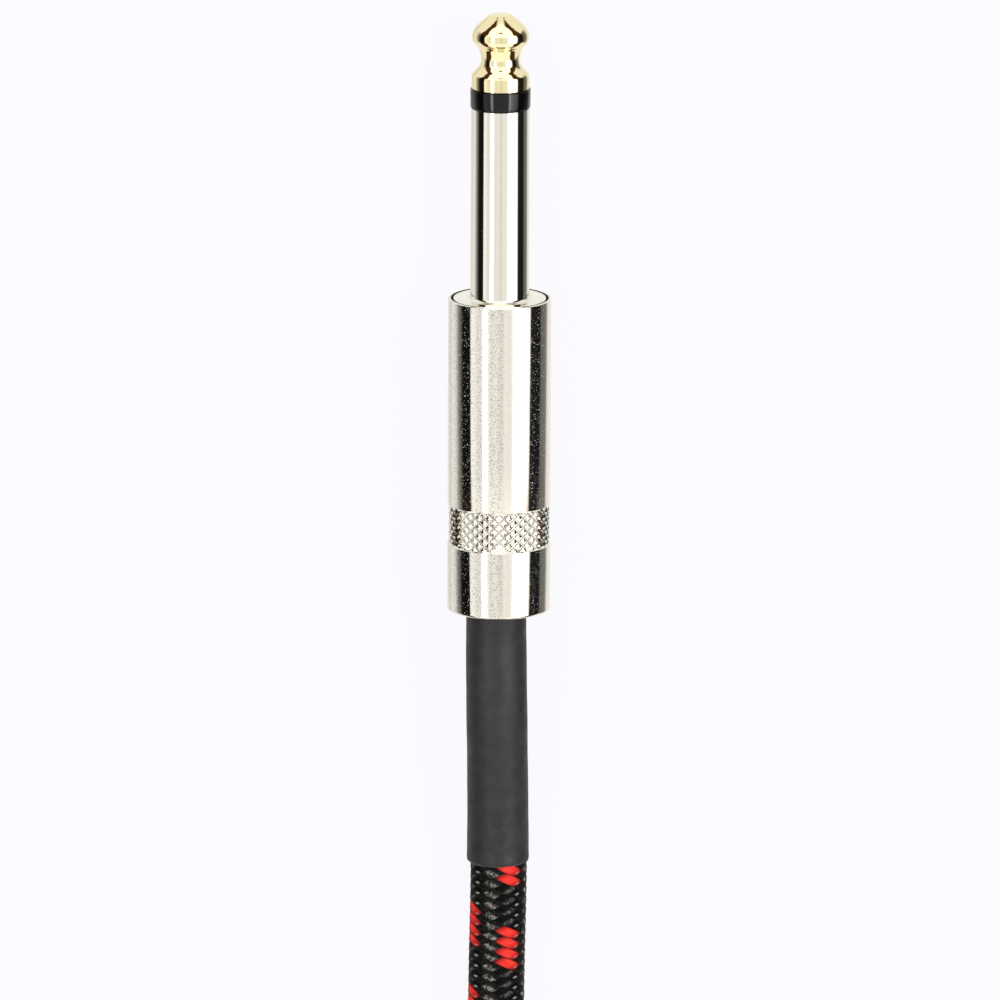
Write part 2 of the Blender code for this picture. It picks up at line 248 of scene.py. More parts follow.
def coil_point(theta):
    """theta in degrees along the cord, clockwise from the +X side."""
    r, layer = TURNS[0]
    for i in range(1, len(TURNS)):
        centre = 330.0 + 360.0 * (i - 1)
        t = ease((theta - centre + 32.0) / 64.0)
        r += (TURNS[i][0] - TURNS[i - 1][0]) * t
        layer += (TURNS[i][1] - TURNS[i - 1][1]) * t
    angle = -theta
    cross = (theta - 330.0 + 180.0) % 360.0 - 180.0
    over = plateau(cross, 22.0, 60.0)
    if theta > COIL_SWEEP - 60.0:
        over = 0.0
    at_tie = (angle - TIE_ANGLE + 180.0) % 360.0 - 180.0
    lift = 1.42 * plateau(at_tie, 11.0, 38.0)
    z = FLOOR_CORD_Z + layer * (LAYER_STEP + CROSSING_RISE * over) + lift
    wobble = 0.14 * math.sin(math.radians(2 * angle + 70 * round(layer)))
    if theta < 40 or theta > COIL_SWEEP - 40:
        wobble = 0.0
    a = math.radians(angle)
    return (COIL_CENTRE[0] + (r + wobble) * math.cos(a), COIL_CENTRE[1] + (r + wobble) * math.sin(a), z)


def resample(points, spacing_at):
    """Points along a dense line, at a spacing that depends on the length run so far."""
    p = np.asarray(points, float)
    seg = np.linalg.norm(np.diff(p, axis=0), axis=1)
    run = np.concatenate([[0.0], np.cumsum(seg)])
    total, at, out = run[-1], 0.0, [0.0]
    while True:
        at += spacing_at(at, total)
        if at >= total - 0.5 * spacing_at(at, total):
            break
        out.append(at)
    out.append(total)
    out = np.array(out)
    return np.stack([np.interp(out, run, p[:, k]) for k in range(3)], 1), out


NEAR_END_Y = SEATS["near"][1] + SHRINK_END
FAR_END_Y = SEATS["far"][1] + SHRINK_END
dense = [near_route(y) for y in np.arange(NEAR_END_Y + 1.2, COIL_CENTRE[1], -0.1)]
near_count = len(dense)
dense += [coil_point(th) for th in np.arange(0.0, COIL_SWEEP, 0.15)]
dense += [far_route(y) for y in np.arange(COIL_CENTRE[1], FAR_END_Y + 1.2, 0.1)]
dense = np.array(dense)
# one light smoothing pass, so that no joint of two formulas shows
kernel = np.hanning(61)
kernel /= kernel.sum()
padded = np.concatenate([2 * dense[0] - dense[1:31][::-1], dense, 2 * dense[-1] - dense[-31:-1][::-1]])
dense = np.stack([np.convolve(padded[:, k], kernel, mode="valid") for k in range(3)], 1)

seg_run = np.concatenate([[0.0], np.cumsum(np.linalg.norm(np.diff(dense, axis=0), axis=1))])
CORD_LENGTH = float(seg_run[-1])
FINE_END = 25.5                                  # the stretch seen close up
LEAD_END = float(np.interp(near_count, np.arange(len(seg_run)), seg_run))
FAR_START = CORD_LENGTH - 78.0


# ------------------------------------------------------------------ braid: 16 carriers, two over two
BRAID_TURN = 9.75 / 360.0
BRAID_SHIFT = -2.38      # mm along the cord


def braid_height(turns, length):
    """0 to 1, the height of the woven yarns at angle (in turns) and length (mm)."""
    u = (turns + BRAID_TURN) * 8.0
    v = (length + BRAID_SHIFT) / LEAD * 8.0
    pz, ps = u - v, u + v
    i, j = np.floor(pz), np.floor(ps)
    m = np.mod(i + j, 4.0)
    fz, fs = pz - i, ps - j
    over_z = m < 2
    w = np.where(over_z, fz, fs)
    q = np.where(over_z, (fs + m) / 2, (fz + m - 2) / 2)
    across = np.sqrt(np.clip(1 - (2 * w - 1) ** 2, 0, 1))
    along = np.sin(np.pi * np.clip(q, 0, 1)) ** 0.6
    return across * (0.25 + 0.75 * along)


def tube_mesh(points, lengths, radius_at, sides_at, height_at=None, caps=True):
    """A tube of quads with a possibly changing number of sides, with (turns, length) as UVs."""
    p, t, ups, sides = frames_along(points)
    verts, rings, turns_of = [], [], []
    for k in range(len(p)):
        n = sides_at(lengths[k])
        a = np.arange(n) / n
        r = np.full(n, radius_at(lengths[k]))
        if height_at is not None:
            r = r + height_at(a, lengths[k])
        c, s = np.cos(2 * np.pi * a), np.sin(2 * np.pi * a)
        # angle 0 is up, and it grows towards the right of someone looking along -tangent from above
        ring = p[k] + r[:, None] * (c[:, None] * ups[k] + s[:, None] * -sides[k])
        rings.append(list(range(len(verts), len(verts) + n)))
        turns_of.append(a)
        verts.extend(ring.tolist())
    faces, uvs = [], []
    for k in range(len(rings) - 1):
        top, low = rings[k], rings[k + 1]
        v0, v1 = lengths[k] / LEAD, lengths[k + 1] / LEAD
        nt, nl = len(top), len(low)
        n = min(nt, nl)
        ft, fl = nt // n, nl // n
        for a in range(n):
            tops = [(a * ft + b) for b in range(ft + 1)]
            lows = [(a * fl + b) for b in range(fl + 1)]
            face = [top[x % nt] for x in tops] + [low[x % nl] for x in reversed(lows)]
            uv = [(x / nt, v0) for x in tops] + [(x / nl, v1) for x in reversed(lows)]
            faces.append(tuple(face))
            uvs.extend(uv)
    if caps:
        for ring, k, flip in ((rings[0], 0, True), (rings[-1], -1, False)):
            centre = len(verts)
            verts.append(tuple(p[k]))
            n = len(ring)
            for a in range(n):
                b = (a + 1) % n
                face = (centre, ring[b], ring[a]) if flip else (centre, ring[a], ring[b])
                faces.append(face)
                uvs.extend([(0.5, lengths[k] / LEAD)] * 3)
    return verts, faces, uvs


# ------------------------------------------------------------------ materials
class Nodes:
    """A short way to write a material's node tree."""

    def __init__(self, name):
        self.mat = bpy.data.materials.new(name)
        self.mat.use_nodes = True
        self.tree = self.mat.node_tree
        self.bsdf = self.tree.nodes["Principled BSDF"]

    def link(self, a, b):
        self.tree.links.new(a, b)

    def feed(self, socket, value):
        if hasattr(value, "links"):
            self.link(value, socket)
        elif isinstance(value, (tuple, list)) and len(value) == 3 and socket.type == "RGBA":
            socket.default_value = (*value, 1.0)
        else:
            socket.default_value = value

    def math(self, op, *args, clamp=False):
        node = self.tree.nodes.new("ShaderNodeMath")
        node.operation = op
        node.use_clamp = clamp
        for socket, value in zip(node.inputs, args):
            self.feed(socket, value)
        return node.outputs[0]

    def mix(self, factor, a, b, blend="MIX"):
        node = self.tree.nodes.new("ShaderNodeMix")
        node.data_type = "RGBA"
        node.blend_type = blend
        self.feed(node.inputs["Factor"], factor)
        self.feed(node.inputs["A"], a)
        self.feed(node.inputs["B"], b)
        return node.outputs["Result"]

    def lerp(self, factor, a, b):
        node = self.tree.nodes.new("ShaderNodeMix")
        node.data_type = "FLOAT"
        self.feed(node.inputs["Factor"], factor)
        self.feed(node.inputs["A"], a)
        self.feed(node.inputs["B"], b)
        return node.outputs["Result"]

    def span(self, value, a, b, c=0.0, d=1.0, smooth=False):
        node = self.tree.nodes.new("ShaderNodeMapRange")
        if smooth:
            node.interpolation_type = "SMOOTHSTEP"
        self.feed(node.inputs["Value"], value)
        for key, number in zip(("From Min", "From Max", "To Min", "To Max"), (a, b, c, d)):
            self.feed(node.inputs[key], number)
        return node.outputs[0]

    def place(self):
        return self.tree.nodes.new("ShaderNodeTexCoord").outputs["Object"]

    def scaled(self, vector, scale):
        node = self.tree.nodes.new("ShaderNodeMapping")
        self.link(vector, node.inputs["Vector"])
        node.inputs["Scale"].default_value = scale
        return node.outputs["Vector"]

    def noise(self, vector, scale, detail=2.0, rough=0.5):
        node = self.tree.nodes.new("ShaderNodeTexNoise")
        self.link(vector, node.inputs["Vector"])
        node.inputs["Scale"].default_value = scale
        node.inputs["Detail"].default_value = detail
        node.inputs["Roughness"].default_value = rough
        return node.outputs["Fac"]

    def bump(self, height, strength, distance):
        node = self.tree.nodes.new("ShaderNodeBump")
        self.feed(node.inputs["Height"], height)
        self.feed(node.inputs["Strength"], strength)
        node.inputs["Distance"].default_value = distance
        self.link(node.outputs["Normal"], self.bsdf.inputs["Normal"])
        return node.outputs["Normal"]

    def set(self, **values):
        for key, value in values.items():
            self.feed(self.bsdf.inputs[key.replace("_", " ")], value)
        return self


def plated(name, colour, rough, metallic=1.0, grain=0.0, speckle=0.06, scale=9000.0, wear_and_painted_light=0.0):
    """Plated or bare metal with a very fine grain, and with drawn streaks, specks and painted shade in the knurl's
    grooves if wear_and_painted_light is set.
    """
    m = Nodes(name)
    at = m.place()
    fine = m.noise(at, scale, 2.0, 0.6)
    amount = m.span(fine, 0.35, 0.65)
    dark = tuple(c * (1 - speckle * 2.2) for c in colour)
    shiny = metallic
    if wear_and_painted_light:
        split = m.tree.nodes.new("ShaderNodeSeparateXYZ")
        m.link(at, split.inputs[0])
        side = m.span(split.outputs[0], 0.0001, 0.0007, 1.0, 0.22, smooth=True)
        pits = m.span(fine, 0.36, 0.46, 1.0, 0.0)
        pale = m.math("SUBTRACT", 1.0, m.math("MULTIPLY", pits, side))
        streak = m.noise(m.scaled(at, (3400.0, 120.0, 3400.0)), 1.0, 2.0, 0.5)
        base = m.mix(pale, dark, colour)
        base = m.mix(m.span(streak, 0.50, 0.78, 0.0, 0.24), base, tuple(c * 0.72 for c in colour))
        specks = m.span(m.noise(at, 7600.0, 1.0, 0.5), 0.68, 0.71)
        base = m.mix(m.math("MULTIPLY", specks, 0.8), base, (0.62, 0.60, 0.57))
        # painted shade: the bottoms of the knurl's grooves are painted near black; both barrels' axes are at |x'| =
        # 0
        half = 0.5 * SEATS["far"][0] * MM
        across = m.math("SUBTRACT", m.math("ABSOLUTE", m.math("SUBTRACT", split.outputs[0], half)), abs(half))
        rise = m.math("SUBTRACT", split.outputs[2], SEATS["near"][2] * MM)
        out = m.math("SQRT", m.math("ADD", m.math("MULTIPLY", across, across), m.math("MULTIPLY", rise, rise)))
        groove_shade = m.math("MULTIPLY", m.span(out, 5.265 * MM, 5.34 * MM, 1.0, 0.0), m.math("GREATER_THAN", out, 5.20 * MM))
        base = m.mix(m.math("MULTIPLY", groove_shade, 0.62), base, (0.055, 0.052, 0.048))
        shiny = m.math("SUBTRACT", 1.0, m.math("MULTIPLY", specks, wear_and_painted_light))
        m.set(Base_Color=base)
        waves = m.math("ADD", m.noise(at, 5200.0, 3.0, 0.65), m.math("MULTIPLY", streak, 1.2))
        m.bump(waves, grain, 0.00002)
    else:
        m.set(Base_Color=m.mix(amount, dark, colour))
        if grain:
            m.bump(m.noise(at, 5200.0, 3.0, 0.65), grain, 0.00002)
    m.set(Metallic=shiny)
    m.set(Roughness=m.span(m.noise(at, 400.0, 3.0), 0.3, 0.7, rough * 0.75, rough * 1.3))
    return m.mat


def plastic(name, colour, rough, bump=0.0, scale=2500.0, specular=0.5, mottle=0.0):
    m = Nodes(name)
    at = m.place()
    m.set(Base_Color=colour, Specular_IOR_Level=specular)
    if mottle:
        blotch = m.math("ADD", m.noise(at, 520.0, 4.0, 0.6), m.math("MULTIPLY", m.noise(at, 5200.0, 2.0, 0.6), 0.5))
        light = tuple(c * (1 + mottle) for c in colour)
        dark = tuple(c * (1 - mottle) for c in colour)
        m.set(Base_Color=m.mix(m.span(blotch, 0.55, 0.95), dark, light))
    m.set(Roughness=m.span(m.noise(at, 900.0, 3.0), 0.3, 0.7, rough * 0.85, rough * 1.15))
    if bump:
        m.bump(m.noise(at, scale, 4.0, 0.6), bump, 0.00006)
    return m.mat


def braid_material():
    """Eight left-hand and eight right-hand yarns, two over two, four of the left-hand ones red."""
    m = Nodes("cord_braid")
    uv = m.tree.nodes.new("ShaderNodeUVMap")
    uv.uv_map = "along"
    parts = m.tree.nodes.new("ShaderNodeSeparateXYZ")
    m.link(uv.outputs[0], parts.inputs[0])
    turns = m.math("MULTIPLY", m.math("ADD", parts.outputs[0], BRAID_TURN), 8.0)
    along = m.math("MULTIPLY", m.math("ADD", parts.outputs[1], BRAID_SHIFT / LEAD), 8.0)
    pz, ps = m.math("SUBTRACT", turns, along), m.math("ADD", turns, along)
    i, j = m.math("FLOOR", pz), m.math("FLOOR", ps)
    fz, fs = m.math("FRACT", pz), m.math("FRACT", ps)
    sum4 = m.math("FLOORED_MODULO", m.math("ADD", i, j), 4.0)
    over_z = m.math("LESS_THAN", sum4, 1.5)
    w = m.lerp(over_z, fs, fz)                              # across the top yarn
    q_z = m.math("MULTIPLY", m.math("ADD", fs, sum4), 0.5)
    q_s = m.math("MULTIPLY", m.math("ADD", fz, m.math("SUBTRACT", sum4, 2.0)), 0.5)
    q = m.lerp(over_z, q_s, q_z)                            # along the top yarn, 0 to 1
    edge = m.math("SUBTRACT", m.math("MULTIPLY", w, 2.0), 1.0)
    across = m.math("SQRT", m.math("MAXIMUM", m.math("SUBTRACT", 1.0, m.math("MULTIPLY", edge, edge)), 0.0))
    arch = m.math("POWER", m.math("SINE", m.math("MULTIPLY", m.math("MINIMUM", m.math("MAXIMUM", q, 0.001), 0.999), math.pi)), 0.6)
    high = m.math("MULTIPLY", across, m.math("MULTIPLY_ADD", arch, 0.75, 0.25))
    # which yarn: its own number keeps its colour and its streaks
    yarn = m.lerp(over_z, m.math("ADD", j, 40.0), i)
    red_yarn = m.math("LESS_THAN", m.math("FLOORED_MODULO", i, 8.0), 3.5)
    red = m.math("MULTIPLY", over_z, red_yarn)
    streak_at = m.tree.nodes.new("ShaderNodeCombineXYZ")
    m.link(m.math("MULTIPLY", w, 13.0), streak_at.inputs[0])
    m.link(m.math("MULTIPLY", m.lerp(over_z, pz, ps), 0.9), streak_at.inputs[1])
    m.link(m.math("MULTIPLY", yarn, 3.7), streak_at.inputs[2])
    streak = m.noise(streak_at.outputs[0], 1.0, 2.0, 0.6)
    fluff = m.noise(m.place(), 4200.0, 3.0, 0.7)
    # painted shade: the red is darker down the sides of each yarn and lighter on its top
    red_colour = m.mix(m.span(high, 0.1, 0.85), (0.22, 0.009, 0.008), (0.74, 0.024, 0.018))
    red_colour = m.mix(m.span(streak, 0.42, 0.80, 0.0, 0.55), red_colour, (0.92, 0.10, 0.07))
    # the black yarns: near black, with grey specks of wear that also carry a painted highlight round the crown of
    # each float, broader and brighter on the right-hand yarns, fainter on the left-hand ones
    speck_noise = m.noise(m.place(), 3600.0, 3.0, 0.62)
    crown = m.span(m.math("ABSOLUTE", m.math("SUBTRACT", q, 0.63)), 0.0, 0.20, 1.0, 0.0, smooth=True)
    wear_and_painted_light = m.math("MULTIPLY", m.span(speck_noise, 0.40, 0.66), m.math("MULTIPLY_ADD", crown, 0.95, 0.05))
    grey = m.mix(wear_and_painted_light, (0.0014, 0.0014, 0.0014), (0.265, 0.255, 0.242))
    crown = m.span(m.math("ABSOLUTE", m.math("SUBTRACT", q, 0.47)), 0.0, 0.17, 1.0, 0.0, smooth=True)
    wear_and_painted_light = m.math("MULTIPLY", m.span(speck_noise, 0.40, 0.74), crown)
    black = m.mix(wear_and_painted_light, (0.0010, 0.0010, 0.0010), (0.150, 0.146, 0.136))
    black_colour = m.mix(over_z, grey, black)
    # the right-hand end of a left-hand yarn catches the light
    tip_light = m.math("MULTIPLY", m.span(q, 0.79, 0.89), m.span(q, 0.92, 0.99, 1.0, 0.0))
    tip_light = m.math("MULTIPLY", m.math("MULTIPLY", tip_light, m.span(across, 0.90, 0.995)), over_z)
    black_colour = m.mix(tip_light, black_colour, (0.25, 0.25, 0.24))
    # painted shade: the red ones are darker towards the ends, where they dive under; their right-hand ends get a
    # faint painted glint
    middle = m.math("MULTIPLY", m.span(q, 0.02, 0.42, smooth=True), m.span(q, 0.48, 0.92, 1.0, 0.0, smooth=True))
    red_colour = m.mix(m.span(middle, 0.0, 1.0, 0.78, 0.0), red_colour, (0.17, 0.008, 0.008))
    red_colour = m.mix(m.math("MULTIPLY", tip_light, 0.30), red_colour, (0.85, 0.40, 0.36))
    colour = m.mix(red, black_colour, red_colour)
    # painted shade: near black in the crevices between the yarns, and on the red ones also towards their rounded
    # ends
    endness = m.math("MULTIPLY", m.math("ABSOLUTE", m.math("SUBTRACT", q, 0.5)), 2.0)
    reach = m.math("MULTIPLY_ADD", m.math("MULTIPLY", endness, endness), 0.66, 0.16)
    rounding = m.span(m.math("DIVIDE", high, reach), 0.25, 1.0, 0.90, 0.0)
    crevice_shade = m.lerp(red, m.span(high, 0.0, 0.26, 0.80, 0.0), rounding)
    colour = m.mix(crevice_shade, colour, (0.003, 0.0025, 0.0025))
    m.set(Base_Color=colour, Roughness=m.lerp(red, 0.48, 0.60), Specular_IOR_Level=0.05)
    total = m.math("ADD", m.math("MULTIPLY", high, 1.0), m.math("MULTIPLY", streak, 0.16))
    total = m.math("ADD", total, m.math("MULTIPLY", fluff, 0.10))
    near = m.math("LESS_THAN", parts.outputs[1], FINE_END / LEAD)
    m.bump(total, m.lerp(near, 0.9, 0.55), 0.0003)
    return m.mat


NICKEL = (0.93, 0.895, 0.80)
materials = {
    "nickel": plated("nickel_plate", NICKEL, 0.07, speckle=0.03),
    "shell": plated("nickel_barrel", NICKEL, 0.045, grain=0.085, speckle=0.22, scale=6200.0, wear_and_painted_light=0.9),
    # painted shade for the dark gap at the barrel's front recess
    "shade": plated("recess_painted_shade", (0.030, 0.028, 0.026), 0.5),
    "gold": plated("gold_plate", (1.0, 0.89, 0.55), 0.045, grain=0.05, speckle=0.03),
    "brass": plated("rod_brass", (0.80, 0.58, 0.26), 0.16),
    "tin": plated("tinned_lug", (0.74, 0.73, 0.70), 0.30, grain=0.2),
    "solder": plated("solder", (0.62, 0.62, 0.62), 0.22, grain=0.25),
    "copper": plated("copper", (0.80, 0.36, 0.19), 0.25, grain=0.2),
    "ring": plastic("black_insulator", (0.002, 0.002, 0.0022), 0.06, specular=0.35),
    "nylon": plastic("natural_nylon", (0.78, 0.76, 0.68), 0.35),
    "fibre": plastic("fibre_washer", (0.30, 0.10, 0.05), 0.6, 0.4),
    "shrink": plastic("heat_shrink", (0.0190, 0.0176, 0.0192), 0.52, 0.12, 3000.0, 0.30, 0.35),
    "rubber": plastic("inner_jacket", (0.02, 0.02, 0.021), 0.5, 0.2),
    "dielectric": plastic("dielectric", (0.86, 0.85, 0.80), 0.35),
    "braid": braid_material(),
}
liner = plastic("clear_liner", (0.90, 0.93, 0.95), 0.15)
liner_bsdf = liner.node_tree.nodes["Principled BSDF"]
liner_bsdf.inputs["Transmission Weight"].default_value = 0.85
materials["liner"] = liner
M = materials

# ------------------------------------------------------------------ the cord
def spacing(at, total):
    if at < FINE_END:
        return 0.13
    if at < LEAD_END - 1.5 or at > FAR_START:
        return 0.32
    return 2.0


def side_count(at):
    if at < FINE_END:
        return 112
    if at < LEAD_END - 1.5 or at > FAR_START:
        return 56
    return 28


def core_radius(at):
    braided = at < LEAD_END - 1.5 or at > FAR_START
    return 2.91 if braided else 3.04


def weave(turns, at):
    braided = at < LEAD_END - 1.5 or at > FAR_START
    return 0.20 * braid_height(turns, at) if braided else 0.0 * turns


cord_points, cord_lengths = resample(dense, spacing)
verts, faces, uvs = tube_mesh(cord_points, cord_lengths, core_radius, side_count, weave)
far_pieces = []
cord = new_object(
    "cord", verts, faces, "root", "cord_braid", [M["braid"]],
    ("cord_lead_near", "cord_coil", "cord_lead_far"), smooth=None, uvs=uvs,
)

# ------------------------------------------------------------------ shapes of one plug
def spline(points, steps=7):
    """A smooth line through the points (centripetal), for turned outlines."""
    pts = [np.array(p, float) for p in points]
    pts = [2 * pts[0] - pts[1]] + pts + [2 * pts[-1] - pts[-2]]
    out = []
    for k in range(1, len(pts) - 2):
        p0, p1, p2, p3 = pts[k - 1 : k + 3]
        t = [0.0]
        for a, b in ((p0, p1), (p1, p2), (p2, p3)):
            t.append(t[-1] + max(float(np.linalg.norm(b - a)), 1e-6) ** 0.5)
        for m in range(steps):
            x = t[1] + (t[2] - t[1]) * m / steps
            a1 = (t[1] - x) / (t[1] - t[0]) * p0 + (x - t[0]) / (t[1] - t[0]) * p1
            a2 = (t[2] - x) / (t[2] - t[1]) * p1 + (x - t[1]) / (t[2] - t[1]) * p2
            a3 = (t[3] - x) / (t[3] - t[2]) * p2 + (x - t[2]) / (t[3] - t[2]) * p3
            b1 = (t[2] - x) / (t[2] - t[0]) * a1 + (x - t[0]) / (t[2] - t[0]) * a2
            b2 = (t[3] - x) / (t[3] - t[1]) * a2 + (x - t[1]) / (t[3] - t[1]) * a3
            out.append(tuple((t[2] - x) / (t[2] - t[1]) * b1 + (x - t[1]) / (t[2] - t[1]) * b2))
    out.append(tuple(pts[-2]))
    return out


def lathe(name, profile, body, slot, mat, seat, n=96, closed=True, offset=(0.0, 0.0), smooth=30.0):
    verts, faces = lathe_mesh(profile, n, closed, seat, offset)
    return new_object(name, verts, faces, body, slot, [mat], (name,), smooth)


def join_parts(parts):
    verts, faces = [], []
    for v, f in parts:
        base = len(verts)
        verts.extend(v)
        faces.extend(tuple(base + i for i in face) for face in f)
    return verts, faces


def box_part(low, high, seat):
    """A box in the plug's own frame: x, down, s."""
    verts = []
    for x in (low[0], high[0]):
        for d in (low[1], high[1]):
            for s in (low[2], high[2]):
                verts.append((seat[0] + x, seat[1] + s, seat[2] - d))
    faces = [(0, 1, 3, 2), (4, 6, 7, 5), (0, 4, 5, 1), (2, 3, 7, 6), (0, 2, 6, 4), (1, 5, 7, 3)]
    return verts, faces


def tube_part(points, radius, sides=16, wave=None):
    def height(a, at):
        return wave(a, at) if wave else 0.0 * a

    line = np.asarray(points, float)
    seg = np.linalg.norm(np.diff(line, axis=0), axis=1)
    run = np.concatenate([[0.0], np.cumsum(seg)])
    v, f, _ = tube_mesh(line, run, lambda at: radius, lambda at: sides, height)
    return v, f


TIP_OUTLINE = [
    (0.0, 0.0), (0.90, 0.015), (1.12, 0.05), (1.36, 0.22), (1.72, 0.50), (2.10, 0.82),
    (2.47, 1.17), (2.80, 1.56), (3.00, 1.98), (3.06, 2.32), (3.04, 2.72), (2.90, 3.06),
    (2.68, 3.34), (2.46, 3.56), (2.30, 3.92), (2.15, 4.42), (2.08, 4.88), (2.13, 5.30),
    (2.36, 5.75), (2.76, 6.18), (3.03, 6.52), (3.11, 6.80),
]
KNURL_FRONT, KNURL_BACK = -22.55, -27.0
KNURL_COUNT, KNURL_ROWS, KNURL_CUT = 30, 4, 6
PITCH = 0.75


def wave(x):
    """0 on whole numbers, 1 half way between."""
    return 1.0 - abs(2.0 * (x - math.floor(x)) - 1.0)


def barrel_part(seat):
    n = KNURL_COUNT * KNURL_CUT
    rear = -34.3
    edge = 5.44
    outline = fillet(
        [
            (5.55, 0.0, 0.10, 4), (5.55, KNURL_FRONT, 0.04, 2), (edge, KNURL_FRONT - 0.08),
            (edge, KNURL_BACK + 0.08), (5.55, KNURL_BACK, 0.04, 2), (5.55, rear, 0.30, 6),
            (3.62, rear, 0.10, 3), (3.62, rear + 1.1), (4.75, rear + 1.3), (4.75, -1.35),
            (5.15, -1.35), (5.15, -0.13, 0.02, 2), (5.27, 0.0, 0.02, 2),
        ]
    )
    if signed_area(outline) > 0:
        outline.reverse()
    # put the knurled rings between the two points of the recess
    at = next(
        k for k in range(len(outline))
        if abs(outline[k][0] - edge) < 1e-6
        and abs(outline[(k + 1) % len(outline)][0] - edge) < 1e-6
    )
    first, second = outline[at], outline[(at + 1) % len(outline)]
    rows = KNURL_ROWS * KNURL_CUT
    knurl = [
        (None, first[1] + (second[1] - first[1]) * (k + 0.5) / (rows + 1)) for k in range(rows + 1)
    ]
    profile = outline[: at + 1] + knurl + outline[at + 1 :]
    period = abs(second[1] - first[1]) / KNURL_ROWS * (rows / (rows + 1))
    s0 = knurl[0][1]
    verts, rings = [], []
    for r, s in profile:
        rings.append(list(range(len(verts), len(verts) + n)))
        for k in range(n):
            a = 2 * math.pi * k / n
            if r is None:
                u, v = k / KNURL_CUT, (s - s0) / period
                radius = 5.24 + 0.21 * min(1.0, 1.22 * min(wave(u + v), wave(u - v)))
            else:
                radius = r
            verts.append((seat[0] + radius * math.sin(a), seat[1] + s, seat[2] + radius * math.cos(a)))
    faces = []
    for p in range(len(profile)):
        q = (p + 1) % len(profile)
        top, low = rings[p], rings[q]
        knurled = profile[p][0] is None and profile[q][0] is None
        for k in range(n):
            j = (k + 1) % n
            quad = (top[k], top[j], low[j], low[k])
            if not knurled:
                faces.append(quad)
                continue
            u = (k + 0.5) / KNURL_CUT
            v = ((profile[p][1] + profile[q][1]) / 2 - s0) / period
            falls = wave(u + v) < wave(u - v)
            # u + v constant joins (k, lower v) with (k + 1, ...): s falls from top to low
            if falls == (profile[p][1] > profile[q][1]):
                faces += [(quad[0], quad[1], quad[3]), (quad[1], quad[2], quad[3])]
            else:
                faces += [(quad[0], quad[1], quad[2]), (quad[0], quad[2], quad[3])]
    return verts, faces


def body_part(seat):
    """Sleeve, flange, threaded collar and neck, with the bore through them."""
    n = 96
    thread = []
    step = PITCH / 6
    s = -2.1
    while s > -6.95:
        thread.append((None, s))
        s -= step
    front = fillet(
        [
            (3.175, 20.95, 0.12, 4), (3.175, 0.0, 0.45, 7), (5.00, 0.0, 0.08, 3),
            (5.00, -1.2, 0.05, 2), (4.20, -1.25), (4.20, -1.7),
        ],
        closed=False,
    )
    rear = [(4.22, -6.96), (4.22, -7.2), (2.9, -7.2), (2.9, -8.4), (2.1, -8.4), (2.1, 20.95)]
    head = [(3.05, 20.95), (3.11, 20.935), (3.16, 20.89)]
    profile = head + [(r, s) for r, s in front[1:]] + [(4.26, -2.05)] + thread + rear
    verts, rings = [], []
    for r, s in profile:
        rings.append(list(range(len(verts), len(verts) + n)))
        for k in range(n):
            a = 2 * math.pi * k / n
            radius = r if r is not None else 4.26 + 0.34 * min(1.0, 1.15 * wave(s / PITCH + k / n))
            verts.append((seat[0] + radius * math.sin(a), seat[1] + s, seat[2] + radius * math.cos(a)))
    faces = []
    for p in range(len(profile)):
        top, low = rings[p], rings[(p + 1) % len(profile)]
        for k in range(n):
            j = (k + 1) % n
            faces.append((top[k], top[j], low[j], low[k]))
    return verts, faces


def clamp_part(seat, inner=2.62, outer=3.25, front=-22.2, back=-28.8, gap=math.radians(35)):
    """The open band that is crimped on the cord, its mouth at the top."""
    n, span = 40, 2 * math.pi - 2 * gap
    verts, faces = [], []
    for k in range(n + 1):
        a = gap + span * k / n
        for r in (outer, inner):
            for s in (front, back):
                verts.append((seat[0] + r * math.sin(a), seat[1] + s, seat[2] + r * math.cos(a)))
    for k in range(n):
        o = 4 * k
        faces += [
            (o, o + 4, o + 5, o + 1), (o + 2, o + 3, o + 7, o + 6),
            (o, o + 2, o + 6, o + 4), (o + 1, o + 5, o + 7, o + 3),
        ]
    faces += [(0, 1, 3, 2), (4 * n, 4 * n + 2, 4 * n + 3, 4 * n + 1)]
    return verts, faces


